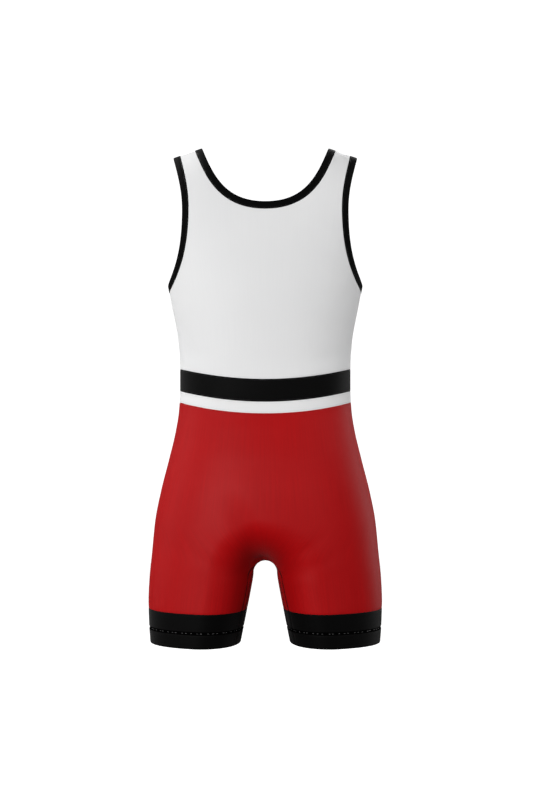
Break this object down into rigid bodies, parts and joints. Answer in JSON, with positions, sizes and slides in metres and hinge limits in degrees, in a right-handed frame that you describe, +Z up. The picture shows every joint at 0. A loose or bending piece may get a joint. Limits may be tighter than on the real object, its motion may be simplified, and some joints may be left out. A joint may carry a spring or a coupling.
{
  "type": "wrestling singlet",
  "caption": "One-piece sleeveless knit garment with short legs, scooped neck, bound armholes and banded cuffs, filled out as worn.",
  "frame": {"origin": "midway between the two shoulder straps, level with the inside of the cloth at the middle of each strap's crest, where the wearer's shoulders hold it up", "axes": "+Z up, +Y the way the wearer faces, so the garment's back is at -Y, and +X at the wearer's right hand"},
  "size_m": [0.3774, 0.2392, 0.7971],
  "materials": {
    "white_knit": "matte stretch knit",
    "black_knit": "matte stretch knit",
    "red_knit": "matte stretch knit"
  },
  "bodies": {
    "root": {"back_panel": "white_knit", "front_panel": "white_knit", "waist_band_back": "black_knit", "waist_band_front": "black_knit", "waist_stripe_back": "white_knit", "waist_stripe_front": "white_knit", "shorts_back": "red_knit", "shorts_front": "red_knit", "leg_band_right": "black_knit", "leg_band_left": "black_knit", "neck_binding": "black_knit", "arm_binding_right": "black_knit", "arm_binding_left": "black_knit"}
  },
  "joints": []
}
